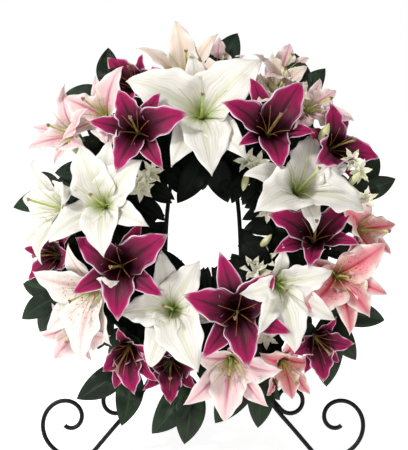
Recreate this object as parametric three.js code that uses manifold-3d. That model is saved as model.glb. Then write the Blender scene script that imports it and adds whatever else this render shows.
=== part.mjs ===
// A funeral wreath of oriental lilies, leaning on a scroll-footed iron easel.
// Units are millimetres. In the finished part +Z is up, +X is to the right seen from the
// front, and the front of the wreath looks along -Y.
//
// Everything is laid out in the wreath's own face plane: x to the right, y up the plane
// and z forward, out of the flowers, with 0, 0, 0 at the ring's centre on the ring's back.
// One group then leans that plane back and sets it on the floor.
import * as THREE from "three";
import { LoftGeometry } from "three/addons/geometries/LoftGeometry.js";
import { mergeVertices } from "three/addons/utils/BufferGeometryUtils.js";
import Module from "manifold-3d";

const wasm = await Module();
wasm.setup();
const rad = THREE.MathUtils.degToRad;
const v3 = (x, y, z) => new THREE.Vector3(x, y, z);

// ---------------------------------------------------------------- driving dimensions
const LEAN = rad(15); // how far the wreath leans back
const GAP = 0.4; // clearance left between pieces that touch

// Where a visitor's eye is. Flowers are laid out as they look from here: depth slides a
// flower along the line of sight, and leaves the layout as it is.
const EYE = v3(0, -Math.sin(rad(5)), Math.cos(rad(5))).multiplyScalar(2300);

const RING_OUTER = 203; // tray, outside radius
const RING_INNER = 107; // tray, inside radius
const TRAY_HEIGHT = 22;
const TRAY_WALL = 2;
const FOAM_HEIGHT = 56; // crown of the foam above the ring's back
const FOAM_SHOULDER = 44; // height of the foam's edges
const RING_SEGMENTS = 24;

const BAR = 3.5; // radius of the easel's round bar
const BAR_SIDES = 6;
const BAR_PLANE = -BAR - 2 * GAP; // z of the front bars' centre lines
const FLAT_FOOT = 0.8; // depth of the flat ground under each foot
const REAR_FOOT_BACK = 300; // floor distance from the front feet to the rear foot
const TOP_BAR_Y = 150; // upper cross bar
const LOW_BAR_Y = -165; // lower cross bar
const STRIP = 4; // thickness of the flat cross bars
const HOOK_X = 72; // how far the ledge hooks stand from the middle

const THROAT = 22; // height of a lily's throat above its base
const STEM = 2.6; // radius of a flower's stem

// ---------------------------------------------------------------- materials
const paint = (color, roughness, metalness = 0) =>
  new THREE.MeshStandardMaterial({ color, roughness, metalness });
const IRON = paint("#141414", 0.55, 0.6);
const TRAY = paint("#16301c", 0.5);
const FOAM = paint("#2c4a2c", 0.95);
const LEAF = paint("#1f3d1b", 0.4);
const FLORET = paint("#e6ead2", 0.5);
const PETALS = {
  white: paint("#efece4", 0.55),
  crimson: paint("#8e1244", 0.5),
  pink: paint("#dfa3b2", 0.55),
};

// ---------------------------------------------------------------- solids
// A closed three.js geometry as a manifold-3d solid.
function solid(geometry, matrix = new THREE.Matrix4()) {
  const bare = new THREE.BufferGeometry();
  bare.setAttribute("position", geometry.getAttribute("position").clone());
  bare.setIndex(geometry.index);
  const merged = mergeVertices(bare.applyMatrix4(matrix), 1e-3);
  const corners = Array.from(merged.index.array);
  const triVerts = [];
  for (let i = 0; i < corners.length; i += 3) {
    const [a, b, c] = corners.slice(i, i + 3);
    if (a !== b && b !== c && c !== a) triVerts.push(a, b, c);
  }
  const vertProperties = merged.attributes.position.array;
  const made = new wasm.Manifold(
    new wasm.Mesh({ numProp: 3, vertProperties, triVerts: new Uint32Array(triVerts) }),
  );
  if (made.volume() > 0) return made;
  return new wasm.Manifold(
    new wasm.Mesh({ numProp: 3, vertProperties, triVerts: new Uint32Array(triVerts.reverse()) }),
  );
}

const joined = (solids) => solids.reduce((whole, next) => whole.add(next));

// The largest body of a solid, or the largest of those that meet a stem.
function largest(body, stem) {
  const bodies = body.decompose().sort((a, b) => b.volume() - a.volume());
  return (stem && bodies.find((one) => !one.intersect(stem).isEmpty())) || bodies[0];
}

function geometryOf(body, matrix) {
  const mesh = body.getMesh();
  const geometry = new THREE.BufferGeometry();
  geometry.setAttribute("position", new THREE.BufferAttribute(mesh.vertProperties, 3));
  geometry.setIndex(new THREE.BufferAttribute(mesh.triVerts, 1));
  geometry.applyMatrix4(matrix);
  geometry.computeVertexNormals();
  return geometry;
}

// A straight round bar from one point to another, which may taper.
function rod(from, to, radius, sides = BAR_SIDES, endRadius = radius) {
  const axis = to.clone().sub(from);
  const geometry = new THREE.CylinderGeometry(endRadius, radius, axis.length(), sides);
  const turn = new THREE.Quaternion().setFromUnitVectors(v3(0, 1, 0), axis.clone().normalize());
  return solid(geometry, new THREE.Matrix4().compose(from.clone().lerp(to, 0.5), turn, v3(1, 1, 1)));
}

// A round bar bent through points that lie in a plane with the given normal.
function bentBar(points, radius, normal) {
  const sections = points.map((point, i) => {
    const before = points[Math.max(0, i - 1)];
    const after = points[Math.min(points.length - 1, i + 1)];
    const across = normal.clone().cross(after.clone().sub(before)).normalize();
    return Array.from({ length: BAR_SIDES }, (_, k) => {
      const angle = (k / BAR_SIDES) * 2 * Math.PI;
      const out = across.clone().multiplyScalar(Math.cos(angle)).addScaledVector(normal, Math.sin(angle));
      return point.clone().addScaledVector(out, radius);
    });
  });
  return solid(new LoftGeometry(sections, { capStart: true, capEnd: true }));
}

// A thin blade, such as a tepal or a leaf, from a centre line of { centre, side, normal,
// half, lift } stations: each section runs edge, face, edge, back, with the edges lifted.
// Face and back are split into triangles alike, from the middle of one section to the
// edges of the next, so that they never cross. Its sharp edges grow more than its faces,
// so that the clearance holds there too.
const BLADE_THICKNESS = 2.4;
const GROWTH = { edge: 9, face: 2.2 };
const START_CAP = [0, 3, 1, 1, 3, 2];
const END_CAP = [0, 1, 3, 1, 2, 3];
function blade(stations, grow) {
  const points = stations.flatMap(({ centre, side, normal, half, lift }) => {
    const thick = Math.min(BLADE_THICKNESS, half) / 2 + grow * GROWTH.face;
    const wide = half + grow * GROWTH.edge;
    const high = (lift * wide) / half;
    return [
      centre.clone().addScaledVector(side, wide).addScaledVector(normal, high),
      centre.clone().addScaledVector(normal, thick),
      centre.clone().addScaledVector(side, -wide).addScaledVector(normal, high),
      centre.clone().addScaledVector(normal, -thick),
    ];
  });
  const last = points.length - 4;
  const index = [...START_CAP, ...END_CAP.map((corner) => last + corner)];
  for (let a = 0; a < last; a += 1) {
    const b = a % 4 === 3 ? a - 3 : a + 1;
    index.push(...(a % 2 ? [a, b, b + 4, a, b + 4, a + 4] : [a, b, a + 4, b, b + 4, a + 4]));
  }
  return solid(new THREE.BufferGeometry().setFromPoints(points).setIndex(index));
}

// The outline of a blade along its length: 0 at both ends and 1 at its widest.
function outline(s, rise, fall) {
  const peak = rise / (rise + fall);
  return (s ** rise * (1 - s) ** fall) / (peak ** rise * (1 - peak) ** fall);
}

// ---------------------------------------------------------------- placing pieces
const face = new THREE.Group(); // the leaning face plane
const taken = []; // every piece so far, grown by the clearance
const grownStems = new Map(); // each flower's stem, grown by the clearance

// Adds a piece. make(grow) builds its solid, grown outwards by grow. The room taken by
// earlier pieces and by other flowers' stems is cut away, and the largest body is kept.
function place(name, material, make, at = v3(0, 0, 0), turn = new THREE.Quaternion(), stem) {
  let body = make(0);
  for (const other of taken) body = body.subtract(other);
  for (const [owner, other] of grownStems) if (owner !== name) body = body.subtract(other);
  if (stem) body = body.add(stem);
  const placement = new THREE.Matrix4().compose(at, turn, v3(1, 1, 1));
  const kept = largest(largest(body, stem).simplify(0.15), stem);
  const geometry = geometryOf(kept, placement.invert());
  const mesh = new THREE.Mesh(geometry, material);
  mesh.name = name;
  mesh.position.copy(at);
  mesh.quaternion.copy(turn);
  face.add(mesh);
  taken.push(make(GAP).add(make(0)));
}

// A layout point at a depth, slid along the line of sight.
function seen(x, y, z) {
  const lift = rad(5);
  const start = v3(x, y * Math.cos(lift), y * Math.sin(lift));
  return start.lerp(EYE, (z - start.z) / (EYE.z - start.z));
}

// ---------------------------------------------------------------- easel
const FOOT_SCROLL = { x: 212, y: -297, radius: 58, shrink: 0.23, from: -0.55, to: 6.9, steps: 20 };
const SMALL_SCROLL = { x: 138, y: -268, radius: 20, shrink: 0, from: -0.95, to: 4.4, steps: 10 };

// A point on a scroll's centre line. Angle 0 is its lowest point, from where it rises outwards.
function scrollPoint(scroll, side, angle) {
  const radius = scroll.radius * Math.exp(-scroll.shrink * angle);
  return v3(side * (scroll.x + radius * Math.sin(angle)), scroll.y - radius * Math.cos(angle), BAR_PLANE);
}

function scrollPoints(scroll, side) {
  return Array.from({ length: scroll.steps + 1 }, (_, i) =>
    scrollPoint(scroll, side, THREE.MathUtils.lerp(scroll.from, scroll.to, i / scroll.steps)),
  );
}

// The leg's centre line above its scroll, from the apex down.
const LEG_LINE = [
  [4.5, 212],
  [24, 180],
  [45, 118],
  [57, 36],
  [61, -50],
  [64, -120],
  [70, -180],
  [84, -232],
  [112, -276],
  [146, -316],
];
const legPoints = (side) => [
  ...LEG_LINE.map(([x, y]) => v3(side * x, y, BAR_PLANE)),
  ...scrollPoints(FOOT_SCROLL, side),
];

// The floor lies just above the lowest edge of the front scrolls.
const leaned = new THREE.Matrix4().makeRotationX(Math.PI / 2 - LEAN);
const unleaned = leaned.clone().invert();
const footPoint = scrollPoint(FOOT_SCROLL, 1, 0).applyMatrix4(leaned);
const FLOOR_Z = footPoint.z - BAR + FLAT_FOOT;

// What lies under the floor, to grind the feet flat.
const UNDER = 1200;
const underFloor = solid(
  new THREE.BoxGeometry(UNDER, UNDER, UNDER),
  unleaned.clone().multiply(new THREE.Matrix4().makeTranslation(0, 0, FLOOR_Z - UNDER / 2)),
);

const SIDES = [
  ["left", -1],
  ["right", 1],
];
const FORWARD = v3(0, 0, 1);
const SIDEWAYS = v3(1, 0, 0);
for (const [name, side] of SIDES) {
  place(`${name}_leg`, IRON, (grow) =>
    bentBar(legPoints(side), BAR + grow, FORWARD).subtract(underFloor),
  );
}
for (const [name, side] of SIDES) {
  const points = [v3(side * 106, -262, BAR_PLANE), ...scrollPoints(SMALL_SCROLL, side)];
  place(`${name}_small_scroll`, IRON, (grow) => bentBar(points, BAR + grow, FORWARD));
}

// Flat strips welded across the backs of the two legs.
const STRIP_PLANE = BAR_PLANE - BAR - GAP - STRIP / 2;
const CROSS_BARS = [
  ["upper_cross_bar", TOP_BAR_Y, 84, 14],
  ["lower_cross_bar", LOW_BAR_Y, 148, 22],
];
for (const [name, y, width, height] of CROSS_BARS) {
  const middle = v3(0, y, STRIP_PLANE);
  place(
    name,
    IRON,
    (grow) =>
      solid(
        new THREE.BoxGeometry(width + 2 * grow, height + 2 * grow, STRIP + 2 * grow),
        new THREE.Matrix4().setPosition(middle),
      ),
    middle,
  );
}

// The rear leg slopes from the lower cross bar down to the floor behind.
const REAR_PLANE = STRIP_PLANE - STRIP / 2 - GAP - BAR;
const rearTop = v3(0, LOW_BAR_Y + 8, REAR_PLANE - 2);
const rearFoot = v3(0, footPoint.y + REAR_FOOT_BACK, FLOOR_Z).applyMatrix4(unleaned);
const rearDown = rearFoot.clone().sub(rearTop).normalize();
place("rear_leg", IRON, (grow) =>
  rod(rearTop, rearFoot.clone().addScaledVector(rearDown, 10), BAR + grow, 8).subtract(underFloor),
);

// Hooks on the legs that carry the ring's rim.
const hookY = -Math.sqrt((RING_OUTER + BAR + 2 * GAP) ** 2 - HOOK_X ** 2);
const HOOK_LINE = [
  [0, 0, BAR_PLANE + BAR + GAP],
  [0, 0, 44],
  [-1, 3, 51],
  [-4, 12, 55],
];
for (const [name, side] of SIDES) {
  const points = HOOK_LINE.map(([x, y, z]) => v3(side * (HOOK_X + x), hookY + y, z));
  place(`${name}_ledge_hook`, IRON, (grow) => bentBar(points, BAR + grow, SIDEWAYS));
}

// ---------------------------------------------------------------- ring
const ringTurn = new THREE.Matrix4().makeRotationX(Math.PI / 2); // lathe axis to the face's z
const lathe = (profile) =>
  solid(
    new THREE.LatheGeometry(
      [...profile, profile[0]].map(([r, z]) => new THREE.Vector2(r, z)),
      RING_SEGMENTS,
    ),
    ringTurn,
  );

// A stem's way over the tray's rim into the foam, at its flower's own clock angle.
const STEM_END = { nearest: 130, farthest: 180, z: 25 };
function stemSolid(from, shift, grow) {
  const clock = Math.atan2(from.y, from.x) + rad(shift);
  const radius = THREE.MathUtils.clamp(Math.hypot(from.x, from.y), STEM_END.nearest, STEM_END.farthest);
  const end = v3(radius * Math.cos(clock), radius * Math.sin(clock), STEM_END.z);
  const past = end.clone().sub(from).setLength(grow);
  return rod(from.clone().sub(past), end.add(past), STEM + grow, 4);
}

// ---------------------------------------------------------------- lilies
// A tepal's centre line leaves the base at the rise angle from the bloom's axis, leans
// out to the flare angle at its tip, and the last part curls back further.
const RISE = rad(24);
const CURL_FROM = 0.68;
const SPINE_STEPS = 48;
const BASE_RADIUS = 2.6;
const STATIONS = [0.12, 0.44, 0.76, 0.98];
const WIDTHS = { inner: 0.27, outer: 0.17 }; // half width over length
const CUPPING = 0.2; // how far the edges stand above the midrib, over the half width
const OUTER_DROP = 3.2; // how far the outer tepals lie behind the inner ones
const LENGTH_RANGE = [0.8, 1.25]; // shortest and longest tepal, over the bloom's size

function leanAt(s, { flare, curl }) {
  const tip = Math.max(0, (s - CURL_FROM) / (1 - CURL_FROM));
  return RISE + (flare - RISE) * s + curl * tip * tip;
}

// The centre line of a tepal of length 1: [distance from the axis, height, lean] at s.
function spineAt(s, tepal) {
  let [out, up] = [0, 0];
  for (let i = 0; i < SPINE_STEPS; i += 1) {
    const lean = leanAt((s * (i + 0.5)) / SPINE_STEPS, tepal);
    out += (Math.sin(lean) * s) / SPINE_STEPS;
    up += (Math.cos(lean) * s) / SPINE_STEPS;
  }
  return [out, up, leanAt(s, tepal)];
}

function tepalSolid(tepal, grow) {
  const side = v3(-Math.sin(tepal.clock), Math.cos(tepal.clock), 0);
  const out = v3(Math.cos(tepal.clock), Math.sin(tepal.clock), 0);
  const stations = STATIONS.map((s, i) => {
    const [away, up, lean] = spineAt(s, tepal);
    const radius = BASE_RADIUS + away * tepal.length;
    const centre = out.clone().multiplyScalar(radius).setZ(up * tepal.length);
    const normal = out.clone().multiplyScalar(-Math.cos(lean)).setZ(Math.sin(lean));
    centre.addScaledVector(normal, -tepal.drop);
    const along = out.clone().multiplyScalar(Math.sin(lean)).setZ(Math.cos(lean));
    if (i === STATIONS.length - 1) centre.addScaledVector(along, grow);
    const half = Math.max(2.5, tepal.width * tepal.length * outline(s, 0.9, 0.75));
    const wrap = Math.min((half * half) / (2 * radius), half * 0.5) * (1 - s);
    return { centre, side, normal, half, lift: CUPPING * half * (1 - s) + wrap };
  });
  return blade(stations, grow);
}

// The turn that faces a bloom: yaw to the right and pitch up, in degrees.
function facing([yaw, pitch]) {
  const level = Math.cos(rad(pitch));
  const axis = v3(Math.sin(rad(yaw)) * level, Math.sin(rad(pitch)), Math.cos(rad(yaw)) * level);
  return new THREE.Quaternion().setFromUnitVectors(FORWARD, axis);
}

// Gives a tepal the clock angle and the length that bring its tip to a layout point.
function aim(tepal, target, base, turn, size) {
  const [e1, e2, n] = [v3(1, 0, 0), v3(0, 1, 0), v3(0, 0, 1)].map((axis) => axis.applyQuaternion(turn));
  const [away, up] = spineAt(1, tepal);
  const det = e1.x * e2.y - e2.x * e1.y;
  const split = (x, y) => [(e2.y * x - e2.x * y) / (det * away), (e1.x * y - e1.y * x) / (det * away)];
  const lean = split(up * n.x, up * n.y);
  let depth = base.z;
  for (let round = 0; round < 6; round += 1) {
    const way = seen(...target, depth).sub(base);
    const wanted = split(way.x, way.y);
    const dot = wanted[0] * lean[0] + wanted[1] * lean[1];
    const square = wanted[0] ** 2 + wanted[1] ** 2;
    const root = Math.sqrt(Math.max(0, dot * dot + square * (1 - lean[0] ** 2 - lean[1] ** 2)));
    const length = square / Math.max(1e-6, dot + root);
    tepal.clock = Math.atan2(wanted[1] / length - lean[1], wanted[0] / length - lean[0]);
    tepal.length = THREE.MathUtils.clamp(length, size * LENGTH_RANGE[0], size * LENGTH_RANGE[1]);
    const reach = away * (Math.cos(tepal.clock) * e1.z + Math.sin(tepal.clock) * e2.z) + up * n.z;
    depth = base.z + tepal.length * reach;
  }
}

// A lily: its throat's place in the layout, where it looks, the usual length of its
// tepals, how far they flare, and each tip's way from the throat with its curl, if it is
// not the usual one. The tips run round the bloom, an inner tepal first, then an outer;
// null stands for a tepal folded away among its neighbours.
const USUAL_CURL = 30;
const LILIES = [
  { name: "crimson_lily_1", at: [-106, 163, 122], look: [-6, 6], size: 92, flare: 104,
    tips: [[80, 25], [38, 60], [-29, 62], [-77, 13], [-32, -66], [42, -63]] },
  { name: "crimson_lily_2", at: [107, 163, 118], look: [8, 20], size: 96, flare: 100,
    tips: [[51, 74], [-32, 85], [-76, 43], [-41, -21], [16, -64], [72, -4]] },
  { name: "crimson_lily_3", at: [-133, -54, 106], look: [-6, -4], size: 98, flare: 104,
    tips: [[76, 49], [35, 70], [-69, 44], [-76, -45], [-3, -86], [70, -49]] },
  { name: "crimson_lily_4", at: [179, -6, 96], look: [4, 22], size: 88, flare: 100,
    tips: [[59, 43], [-23, 56], [-75, 32], [-67, -29], [-7, -39], [72, -14]] },
  { name: "crimson_lily_5", at: [56, -128, 112], look: [2, -4], size: 104, flare: 102,
    tips: [[58, 62], [-30, 97], [-86, 27], [-58, -74], [16, -87], [86, -34]] },
  { name: "white_lily_8", at: [122, -85, 109], look: [14, -12], size: 100, flare: 98,
    tips: [[83, 23], [4, 54], [-46, -8, 60], [-35, -78], [27, -118], [90, -56]] },
  { name: "white_lily_3", at: [-162, 46, 112], look: [-12, 8], size: 108, flare: 102,
    tips: [[3, -84], [75, -37], [63, 67], [14, 101], [-34, 90], [-84, -63, 80]] },
  { name: "white_lily_5", at: [155, 70, 102], look: [20, 22], size: 106, flare: 104,
    tips: [[100, -40, 60], [22, -71, 70], [-89, -47], [-93, 19, 90], [16, 82], [77, 37]] },
  { name: "white_lily_1", at: [-2, 190, 86], look: [0, 12], size: 128, flare: 104,
    tips: [[95, 84], [72, -74], [16, -98], [-49, -86], [-119, 50], [-16, 96]] },
  { name: "white_lily_7", at: [-50, -122, 86], look: [-4, 4], size: 106, flare: 100,
    tips: [[43, 74], [-17, 94], [-82, -8], [-38, -104, 110], [43, -105], [59, -19]] },
  { name: "white_lily_6", at: [-179, -93, 84], look: [-30, -22], size: 104, flare: 84,
    tips: [[41, 13, 70], [-38, 73], [-91, 29], [-72, -68], [-14, -118], [31, -89]] },
  { name: "pink_lily_5", at: [219, -70, 80], look: [14, -2], size: 98, flare: 96,
    tips: [[71, 51], [-53, 26], [-66, -62], [16, -95], null, [77, -30]] },
  { name: "pink_lily_6", at: [44, -210, 80], look: [-4, -26], size: 96, flare: 88,
    tips: [[-10, -91], [60, -70], [80, -10], null, [-32, 14], [-75, -67]] },
  { name: "pink_lily_1", at: [-163, 190, 78], look: [-24, 12], size: 90, flare: 88,
    tips: [[34, 73], [-10, 60], [-59, 24], [-63, -43], [10, -50], null] },
  { name: "white_lily_4", at: [-229, 37, 80], look: [-50, 4], size: 96, flare: 80,
    tips: [[36, 60], [-42, 78, 80], [-58, 20], [-55, -60, 60], [-32, -93, 60], null] },
  { name: "white_lily_2", at: [-26, 252, 58], look: [-4, 34], size: 92, flare: 76,
    tips: [[-18, 84], [50, 66], [70, 11], null, null, [-80, 43]] },
  { name: "white_lily_9", at: [120, 232, 58], look: [14, 30], size: 84, flare: 80,
    tips: [[-10, 50], [-50, 20], null, null, [50, -20], [48, 34]] },
  { name: "pink_lily_3", at: [173, 200, 62], look: [30, 16], size: 84, flare: 84,
    tips: [[34, 22], [12, 40], null, null, [15, -22], [70, -22]] },
  { name: "crimson_lily_8", at: [210, 136, 60], look: [34, 12], size: 84, flare: 84,
    tips: [[-8, 70], [22, 50], [70, -18], [26, -50], null, null] },
  { name: "pink_lily_2", at: [-216, 158, 54], look: [-40, 4], size: 86, flare: 76,
    tips: [[-6, 76], [-58, 10], [-62, -24], [-20, -44], null, null] },
  { name: "pink_lily_7", at: [256, 4, 50], look: [38, 0], size: 90, flare: 80,
    tips: [[50, 8], [10, 66], null, null, [20, -60], [46, -40]] },
  { name: "crimson_lily_6", at: [-122, -190, 66], look: [-18, -34], size: 82, flare: 76,
    tips: [[-26, -20], [-20, -62], [12, -68], [50, -50], null, null] },
  { name: "crimson_lily_7", at: [184, -174, 62], look: [20, -30], size: 82, flare: 80,
    tips: [[56, -4], [34, -36], [8, -64], [-22, -54], null, null] },
  { name: "pink_lily_4", at: [22, 254, 40], look: [14, 36], size: 74, flare: 70,
    tips: [[4, 56], [-40, 34], null, null, null, [44, 30]] },
  { name: "pink_lily_10", at: [126, 256, 34], look: [24, 34], size: 76, flare: 76, shift: -6,
    tips: [[12, 44], [-44, 30], null, null, null, [44, 24]] },
  { name: "crimson_lily_10", at: [-108, 236, 44], look: [-22, 30], size: 78, flare: 76,
    tips: [[-44, 42], [-60, -10], null, null, null, [10, 50]] },
  { name: "crimson_lily_9", at: [-238, -36, 46], look: [-40, -6], size: 76, flare: 74,
    tips: [[-20, 50], [-50, 10], [-40, -40], null, null, null] },
  { name: "pink_lily_9", at: [-200, -156, 42], look: [-30, -28], size: 82, flare: 80,
    tips: [[-40, 40], [-60, -10], [-36, -46], [20, -50], null, null] },
  { name: "pink_lily_8", at: [132, -214, 46], look: [18, -32], size: 80, flare: 80,
    tips: [[10, -52], [40, -46], [50, 10], null, null, [-30, -50]] },
  { name: "crimson_lily_11", at: [-52, -214, 52], look: [-6, -34], size: 78, flare: 70,
    tips: [[0, -60], [44, -40], null, null, null, [-44, -40]] },
];

for (const lily of LILIES) {
  lily.turn = facing(lily.look);
  lily.axis = FORWARD.clone().applyQuaternion(lily.turn);
  lily.base = seen(...lily.at).addScaledVector(lily.axis, -THROAT);
  lily.tepals = lily.tips.flatMap((tip, i) => {
    if (!tip) return [];
    const [dx, dy, curl = USUAL_CURL] = tip;
    const tepal = { flare: rad(lily.flare), curl: rad(curl) };
    tepal.width = i % 2 ? WIDTHS.outer : WIDTHS.inner;
    tepal.drop = i % 2 ? OUTER_DROP : 0;
    aim(tepal, [lily.at[0] + dx, lily.at[1] + dy], lily.base, lily.turn, lily.size);
    return tepal;
  });
  grownStems.set(lily.name, stemSolid(lily.base, lily.shift ?? 0, GAP));
}

// Other flowers and leaves join their stems where these points lie.
const FLORET_STALKS = [
  { name: "left_florets", at: [-112, 88, 56], florets: [[-93, 83, 88], [-78, 99, 82], [-96, 66, 80]] },
  { name: "top_florets", at: [96, 104, 54], florets: [[66, 118, 84], [86, 112, 88], [107, 27, 74]] },
  { name: "right_florets", at: [214, 98, 48], florets: [[244, 118, 82], [258, 98, 78], [264, 50, 96]] },
  { name: "inner_florets", at: [104, -52, 54], florets: [[76, -58, 82], [88, -68, 86], [98, -40, 78]] },
];
const SPRIGS = [
  { name: "left_leaves", at: [-222, 62, 40], tips: [[-304, 40, 44], [-262, 96, 20]] },
  { name: "lower_left_leaves", at: [-214, -100, 38], tips: [[-290, -139, 30], [-291, -82, 20], [-262, -160, 10]] },
  { name: "upper_left_leaves", at: [-140, 214, 38], tips: [[-152, 296, 30], [-222, 222, 16]] },
  { name: "top_leaves", at: [-2, 236, 34], tips: [[-32, 315, 30], [56, 321, 26]] },
  { name: "upper_right_leaves", at: [150, 190, 36], tips: [[149, 290, 28], [196, 262, 40]] },
  { name: "right_leaves", at: [226, 64, 36], tips: [[309, 86, 40], [283, 118, 24]], shift: -8 },
  { name: "lower_right_leaves", at: [200, -128, 38], tips: [[291, -141, 30], [245, -205, 40], [198, -248, 30]] },
  { name: "lower_leaves", at: [90, -214, 36], tips: [[88, -314, 34], [19, -307, 30], [123, -269, 40]] },
  { name: "bottom_leaves", at: [-24, -226, 40], tips: [[-30, -340, 34], [-82, -323, 30]] },
  { name: "bottom_left_leaves", at: [-118, -208, 30], tips: [[-202, -267, 40], [-130, -310, 42]], shift: 6 },
];
const INNER_SPRIGS = [
  { name: "inner_top_leaves", clock: 90 },
  { name: "inner_left_leaves", clock: 205 },
  { name: "inner_right_leaves", clock: 325 },
];
const INNER_RADII = { root: 134, tip: 62 };
const INNER_FAN = [-42, 0, 42]; // clock angles of the tips from the root's
const roundFace = (radius, clock, z) => [radius * Math.cos(rad(clock)), radius * Math.sin(rad(clock)), z];
for (const { name, clock } of INNER_SPRIGS) {
  const tips = INNER_FAN.map((turn, i) => roundFace(INNER_RADII.tip + 4 * (i % 2), clock + turn, 40 + 8 * (i % 3)));
  SPRIGS.push({ name, at: roundFace(INNER_RADII.root, clock, 60), tips });
}
for (const stalk of [...FLORET_STALKS, ...SPRIGS]) {
  stalk.base = seen(...stalk.at);
  grownStems.set(stalk.name, stemSolid(stalk.base, stalk.shift ?? 0, GAP));
}

place("ring_tray", TRAY, (grow) => {
  const [inner, outer] = [RING_INNER - grow, RING_OUTER + grow];
  const [bottom, top] = [-grow, TRAY_HEIGHT + grow];
  const wall = TRAY_WALL + 2 * grow;
  return lathe([
    [inner, bottom],
    [outer, bottom],
    [outer, top],
    [outer - wall, top],
    [outer - wall, bottom + wall],
    [inner + wall, bottom + wall],
    [inner + wall, top],
    [inner, top],
  ]);
});

for (const lily of LILIES) {
  const placement = new THREE.Matrix4().compose(lily.base, lily.turn, v3(1, 1, 1));
  const pistil = lily.size * 0.8;
  place(
    lily.name,
    PETALS[lily.name.split("_")[0]],
    (grow) =>
      joined([
        ...lily.tepals.map((tepal) => tepalSolid(tepal, grow)),
        rod(v3(0, 0, -5 - grow), v3(0, 0, THROAT + grow), 4 + grow, 6, 14 + grow),
        rod(v3(0, 0, 4), v3(0, 0, pistil + grow), 1.6 + grow, 4),
      ]).transform(placement.elements),
    lily.base,
    lily.turn,
    stemSolid(lily.base, lily.shift ?? 0, 0),
  );
}

// ---------------------------------------------------------------- florets
const FLORET_SIZE = { mouth: 15, throat: 2.6, depth: 20 };
for (const stalk of FLORET_STALKS) {
  place(
    stalk.name,
    FLORET,
    (grow) =>
      joined(
        stalk.florets.flatMap((at) => {
          const mouth = seen(...at);
          const way = mouth.clone().sub(stalk.base).normalize().lerp(FORWARD, 0.5).normalize();
          const foot = mouth.clone().addScaledVector(way, -FLORET_SIZE.depth);
          return [
            rod(foot, mouth, FLORET_SIZE.throat + grow, 6, FLORET_SIZE.mouth + grow),
            rod(stalk.base, foot.clone().addScaledVector(way, 4), 1.8 + grow, 4),
          ];
        }),
      ),
    stalk.base,
    undefined,
    stemSolid(stalk.base, stalk.shift ?? 0, 0),
  );
}

// ---------------------------------------------------------------- leaves
const LEAF_STATIONS = [-0.03, 0.3, 0.66, 0.97];
const LEAF_WIDTH = 0.17; // half width over length
const LEAF_BOW = 0.12; // how far the middle of a leaf stands off its chord

function leafSolid(from, to, grow) {
  const chord = to.clone().sub(from);
  const length = chord.length();
  const along = chord.clone().normalize();
  const side = FORWARD.clone().cross(along).normalize();
  const normal = along.clone().cross(side);
  const stations = LEAF_STATIONS.map((s) => {
    const centre = from.clone().addScaledVector(chord, s);
    centre.addScaledVector(normal, 4 * s * (1 - s) * LEAF_BOW * length);
    if (s > 0.9) centre.addScaledVector(along, grow);
    const half = Math.max(2, LEAF_WIDTH * length * outline(Math.max(0, s), 0.8, 0.9));
    return { centre, side, normal, half, lift: 0.25 * half };
  });
  return blade(stations, grow);
}

for (const sprig of SPRIGS) {
  place(
    sprig.name,
    LEAF,
    (grow) => joined(sprig.tips.map((tip) => leafSolid(sprig.base, seen(...tip), grow))),
    sprig.base,
    undefined,
    stemSolid(sprig.base, sprig.shift ?? 0, 0),
  );
}

// The foam goes in last, with every stem already in its place.
place("ring_foam", FOAM, () => {
  const [inner, outer] = [RING_INNER + TRAY_WALL + GAP, RING_OUTER - TRAY_WALL - GAP];
  return lathe([
    [inner, TRAY_WALL + GAP],
    [outer, TRAY_WALL + GAP],
    [outer, FOAM_SHOULDER],
    [outer - 22, FOAM_HEIGHT],
    [inner + 22, FOAM_HEIGHT],
    [inner, FOAM_SHOULDER],
  ]);
});

// ---------------------------------------------------------------- standing the wreath up
face.rotation.x = Math.PI / 2 - LEAN;
face.updateMatrixWorld(true);
const bounds = new THREE.Box3().setFromObject(face, true);
const middle = bounds.getCenter(v3(0, 0, 0));
face.position.set(-middle.x, -middle.y, -bounds.min.z);
face.updateMatrixWorld(true);

// Snaps every corner to a fine grid, so that no two are closer than it, and keeps the
// larger body of a piece that carving left hanging by less than a hair.
const GRID = 0.002;
for (const mesh of face.children) {
  const standing = mesh.geometry.clone().applyMatrix4(mesh.matrixWorld);
  const corners = standing.getAttribute("position").array;
  corners.forEach((value, i) => (corners[i] = Math.round(value / GRID) * GRID));
  mesh.geometry = geometryOf(largest(solid(standing)), mesh.matrixWorld.clone().invert());
}

export default face;
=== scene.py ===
"""A funeral wreath of oriental lilies, leaning on a scroll-footed iron easel.

The wreath is laid out in millimetres in its own face plane, as in the part's source: x to
the right, y up the plane, z forward out of the flowers, from the ring's centre on its back.
"""
import math

import bpy
import numpy as np
from mathutils import Matrix, Vector


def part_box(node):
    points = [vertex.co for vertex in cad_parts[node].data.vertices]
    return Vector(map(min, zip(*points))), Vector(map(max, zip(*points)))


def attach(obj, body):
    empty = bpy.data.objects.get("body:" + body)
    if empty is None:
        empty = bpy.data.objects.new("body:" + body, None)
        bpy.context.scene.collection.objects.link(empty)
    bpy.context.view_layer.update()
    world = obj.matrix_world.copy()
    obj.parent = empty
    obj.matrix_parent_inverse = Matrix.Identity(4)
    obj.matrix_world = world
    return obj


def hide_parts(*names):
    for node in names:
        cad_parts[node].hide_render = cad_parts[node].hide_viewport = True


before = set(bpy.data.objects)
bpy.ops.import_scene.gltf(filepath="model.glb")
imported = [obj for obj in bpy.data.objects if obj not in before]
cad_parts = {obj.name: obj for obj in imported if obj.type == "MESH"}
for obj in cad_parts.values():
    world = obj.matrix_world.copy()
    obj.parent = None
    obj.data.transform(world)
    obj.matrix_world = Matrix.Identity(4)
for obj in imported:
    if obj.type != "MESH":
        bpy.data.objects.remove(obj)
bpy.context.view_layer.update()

MM = 0.001
LEAN = math.radians(15)
EYE_DROP = math.radians(5)
EYE_DISTANCE = 2300
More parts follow.
